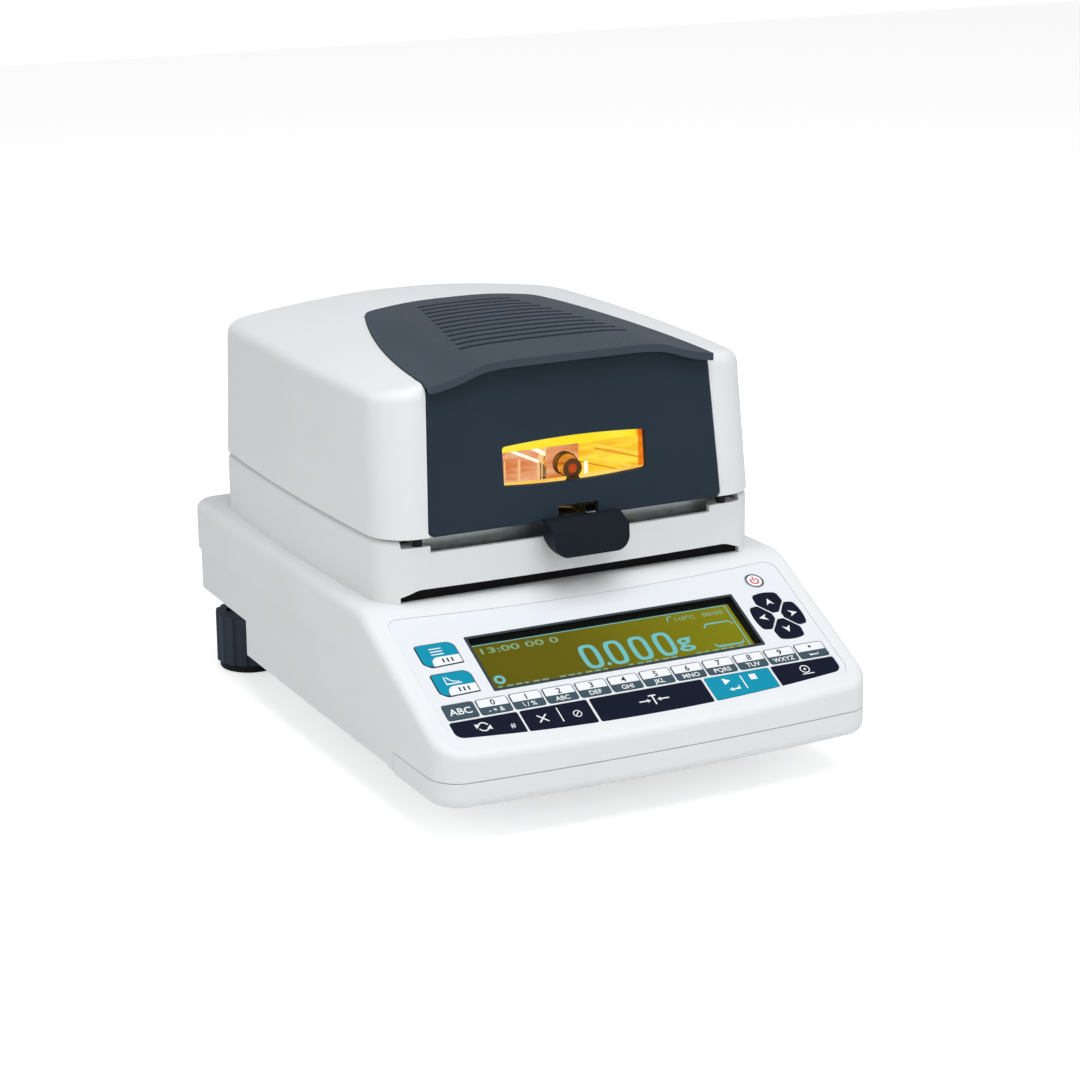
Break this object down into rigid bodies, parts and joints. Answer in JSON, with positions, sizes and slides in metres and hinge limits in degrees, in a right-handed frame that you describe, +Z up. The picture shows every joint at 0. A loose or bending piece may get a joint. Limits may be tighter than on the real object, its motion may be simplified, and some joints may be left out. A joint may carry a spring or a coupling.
{
  "type": "moisture analyzer",
  "caption": "Halogen moisture analyzer: a weighing chamber under a hinged heating hood with a viewing window, behind a sloped keypad and display, on levelling feet.",
  "frame": {"origin": "under the middle of the object, on the surface it stands on", "axes": "+Z up, -Y to the front with the keypad, +Y to the rear wall, +X to the user's right"},
  "size_m": [0.2206, 0.323, 0.1992],
  "materials": {
    "housing_white": "fine texture",
    "dark_slate": "fine texture",
    "rubber_dark": "matte",
    "steel": "satin",
    "liner_metal": "satin sheet",
    "aluminium": "milled",
    "film_white": "satin film",
    "bezel_black": "smooth",
    "clear_window": "polished",
    "lcd_green": "display glass",
    "board_green": "solder mask",
    "window_amber": "polished",
    "quartz": "polished",
    "ceramic": "unglazed ceramic",
    "key_white": "satin film",
    "key_navy": "satin film",
    "key_grey": "satin film",
    "key_teal": "satin film",
    "key_ring": "satin film"
  },
  "bodies": {
    "base": {"upper_shell": "housing_white", "lower_shell": "housing_white", "front_feet": "rubber_dark", "case_screws": "steel", "keypad_film": "film_white", "display_bezel": "bezel_black", "display_window": "clear_window", "lcd_module": "lcd_green", "main_board": "board_green", "power_supply": "board_green", "load_cell": "aluminium", "pan_carrier": "aluminium", "chamber_frame": "housing_white", "hood_bumpers": "rubber_dark", "chamber_liner": "liner_metal", "draft_ring": "liner_metal", "hinge_pins": "steel", "power_inlet": "bezel_black", "serial_port": "steel", "usb_port": "steel", "spirit_level": "clear_window"},
    "hood": {"hood_shell": "housing_white", "front_panel": "dark_slate", "window_pane": "window_amber", "top_cover": "dark_slate", "reflector": "liner_metal", "lamp_tube": "quartz", "lamp_holders": "ceramic", "temperature_sensor": "steel"},
    "lifter": {"lifter_wire": "steel", "lifter_grip": "dark_slate"},
    "pan": {"sample_pan": "aluminium"},
    "left_pad": {"left_foot_pad": "rubber_dark"},
    "left_knob": {"left_foot_knob": "dark_slate"},
    "right_pad": {"right_foot_pad": "rubber_dark"},
    "right_knob": {"right_foot_knob": "dark_slate"},
    "key_shift": {"key_shift": "key_white"},
    "key_0": {"key_0": "key_white"},
    "key_1": {"key_1": "key_white"},
    "key_2": {"key_2": "key_white"},
    "key_3": {"key_3": "key_white"},
    "key_4": {"key_4": "key_white"},
    "key_5": {"key_5": "key_white"},
    "key_6": {"key_6": "key_white"},
    "key_7": {"key_7": "key_white"},
    "key_8": {"key_8": "key_white"},
    "key_9": {"key_9": "key_white"},
    "key_point": {"key_point": "key_white"},
    "key_return": {"key_return": "key_navy"},
    "key_reset": {"key_reset": "key_navy"},
    "key_tare": {"key_tare": "key_grey"},
    "key_start": {"key_start": "key_teal"},
    "key_print": {"key_print": "key_navy"},
    "key_menu": {"key_menu": "key_teal"},
    "key_method": {"key_method": "key_teal"},
    "key_up": {"key_up": "key_grey"},
    "key_left": {"key_left": "key_grey"},
    "key_down": {"key_down": "key_grey"},
    "key_right": {"key_right": "key_grey"},
    "key_power": {"key_power": "key_ring"}
  },
  "joints": [
    {"name": "hood_hinge", "type": "hinge", "parent": "base", "child": "hood", "pos_m": [0, 0.141, 0.1225], "axis": [-1, 0, 0], "range_deg": [0, 75]},
    {"name": "lifter_lift", "type": "slide", "parent": "base", "child": "lifter", "axis": [0, 0, 1], "range_m": [0, 0.005]},
    {"name": "pan_lift", "type": "slide", "parent": "base", "child": "pan", "axis": [0, 0, 1], "range_m": [0, 0.004]},
    {"name": "left_foot_travel", "type": "slide", "parent": "base", "child": "left_pad", "axis": [0, 0, -1], "range_m": [-0.003, 0.006]},
    {"name": "left_foot_turn", "type": "hinge", "parent": "left_pad", "child": "left_knob", "pos_m": [-0.085, 0.1345, 0.015], "axis": [0, 0, 1], "range_deg": [-864, 1728]},
    {"name": "right_foot_travel", "type": "slide", "parent": "base", "child": "right_pad", "axis": [0, 0, -1], "range_m": [-0.003, 0.006]},
    {"name": "right_foot_turn", "type": "hinge", "parent": "right_pad", "child": "right_knob", "pos_m": [0.085, 0.1345, 0.015], "axis": [0, 0, 1], "range_deg": [-864, 1728]},
    {"name": "key_shift_press", "type": "slide", "parent": "base", "child": "key_shift", "axis": [0, 0.4478, -0.8942], "range_m": [0, 0.0004], "stiffness_N_per_m": 400, "springref_m": -0.004},
    {"name": "key_0_press", "type": "slide", "parent": "base", "child": "key_0", "axis": [0, 0.4478, -0.8942], "range_m": [0, 0.0004], "stiffness_N_per_m": 400, "springref_m": -0.004},
    {"name": "key_1_press", "type": "slide", "parent": "base", "child": "key_1", "axis": [0, 0.4478, -0.8942], "range_m": [0, 0.0004], "stiffness_N_per_m": 400, "springref_m": -0.004},
    {"name": "key_2_press", "type": "slide", "parent": "base", "child": "key_2", "axis": [0, 0.4478, -0.8942], "range_m": [0, 0.0004], "stiffness_N_per_m": 400, "springref_m": -0.004},
    {"name": "key_3_press", "type": "slide", "parent": "base", "child": "key_3", "axis": [0, 0.4478, -0.8942], "range_m": [0, 0.0004], "stiffness_N_per_m": 400, "springref_m": -0.004},
    {"name": "key_4_press", "type": "slide", "parent": "base", "child": "key_4", "axis": [0, 0.4478, -0.8942], "range_m": [0, 0.0004], "stiffness_N_per_m": 400, "springref_m": -0.004},
    {"name": "key_5_press", "type": "slide", "parent": "base", "child": "key_5", "axis": [0, 0.4478, -0.8942], "range_m": [0, 0.0004], "stiffness_N_per_m": 400, "springref_m": -0.004},
    {"name": "key_6_press", "type": "slide", "parent": "base", "child": "key_6", "axis": [0, 0.4478, -0.8942], "range_m": [0, 0.0004], "stiffness_N_per_m": 400, "springref_m": -0.004},
    {"name": "key_7_press", "type": "slide", "parent": "base", "child": "key_7", "axis": [0, 0.4478, -0.8942], "range_m": [0, 0.0004], "stiffness_N_per_m": 400, "springref_m": -0.004},
    {"name": "key_8_press", "type": "slide", "parent": "base", "child": "key_8", "axis": [0, 0.4478, -0.8942], "range_m": [0, 0.0004], "stiffness_N_per_m": 400, "springref_m": -0.004},
    {"name": "key_9_press", "type": "slide", "parent": "base", "child": "key_9", "axis": [0, 0.4478, -0.8942], "range_m": [0, 0.0004], "stiffness_N_per_m": 400, "springref_m": -0.004},
    {"name": "key_point_press", "type": "slide", "parent": "base", "child": "key_point", "axis": [0, 0.4478, -0.8942], "range_m": [0, 0.0004], "stiffness_N_per_m": 400, "springref_m": -0.004},
    {"name": "key_return_press", "type": "slide", "parent": "base", "child": "key_return", "axis": [0, 0.4478, -0.8942], "range_m": [0, 0.0004], "stiffness_N_per_m": 400, "springref_m": -0.004},
    {"name": "key_reset_press", "type": "slide", "parent": "base", "child": "key_reset", "axis": [0, 0.4478, -0.8942], "range_m": [0, 0.0004], "stiffness_N_per_m": 400, "springref_m": -0.004},
    {"name": "key_tare_press", "type": "slide", "parent": "base", "child": "key_tare", "axis": [0, 0.4478, -0.8942], "range_m": [0, 0.0004], "stiffness_N_per_m": 400, "springref_m": -0.004},
    {"name": "key_start_press", "type": "slide", "parent": "base", "child": "key_start", "axis": [0, 0.4478, -0.8942], "range_m": [0, 0.0004], "stiffness_N_per_m": 400, "springref_m": -0.004},
    {"name": "key_print_press", "type": "slide", "parent": "base", "child": "key_print", "axis": [0, 0.4478, -0.8942], "range_m": [0, 0.0004], "stiffness_N_per_m": 400, "springref_m": -0.004},
    {"name": "key_menu_press", "type": "slide", "parent": "base", "child": "key_menu", "axis": [0, 0.4478, -0.8942], "range_m": [0, 0.0004], "stiffness_N_per_m": 400, "springref_m": -0.004},
    {"name": "key_method_press", "type": "slide", "parent": "base", "child": "key_method", "axis": [0, 0.4478, -0.8942], "range_m": [0, 0.0004], "stiffness_N_per_m": 400, "springref_m": -0.004},
    {"name": "key_up_press", "type": "slide", "parent": "base", "child": "key_up", "axis": [0, 0.4478, -0.8942], "range_m": [0, 0.0004], "stiffness_N_per_m": 400, "springref_m": -0.004},
    {"name": "key_left_press", "type": "slide", "parent": "base", "child": "key_left", "axis": [0, 0.4478, -0.8942], "range_m": [0, 0.0004], "stiffness_N_per_m": 400, "springref_m": -0.004},
    {"name": "key_down_press", "type": "slide", "parent": "base", "child": "key_down", "axis": [0, 0.4478, -0.8942], "range_m": [0, 0.0004], "stiffness_N_per_m": 400, "springref_m": -0.004},
    {"name": "key_right_press", "type": "slide", "parent": "base", "child": "key_right", "axis": [0, 0.4478, -0.8942], "range_m": [0, 0.0004], "stiffness_N_per_m": 400, "springref_m": -0.004},
    {"name": "key_power_press", "type": "slide", "parent": "base", "child": "key_power", "axis": [0, 0.4478, -0.8942], "range_m": [0, 0.0004], "stiffness_N_per_m": 400, "springref_m": -0.004}
  ],
  "couplings": [
    {"joint": "pan_lift", "follows": "lifter_lift", "ratio": 0.8},
    {"joint": "left_foot_travel", "follows": "left_foot_turn", "m_per_rad": 0.00019894},
    {"joint": "right_foot_travel", "follows": "right_foot_turn", "m_per_rad": 0.00019894}
  ]
}
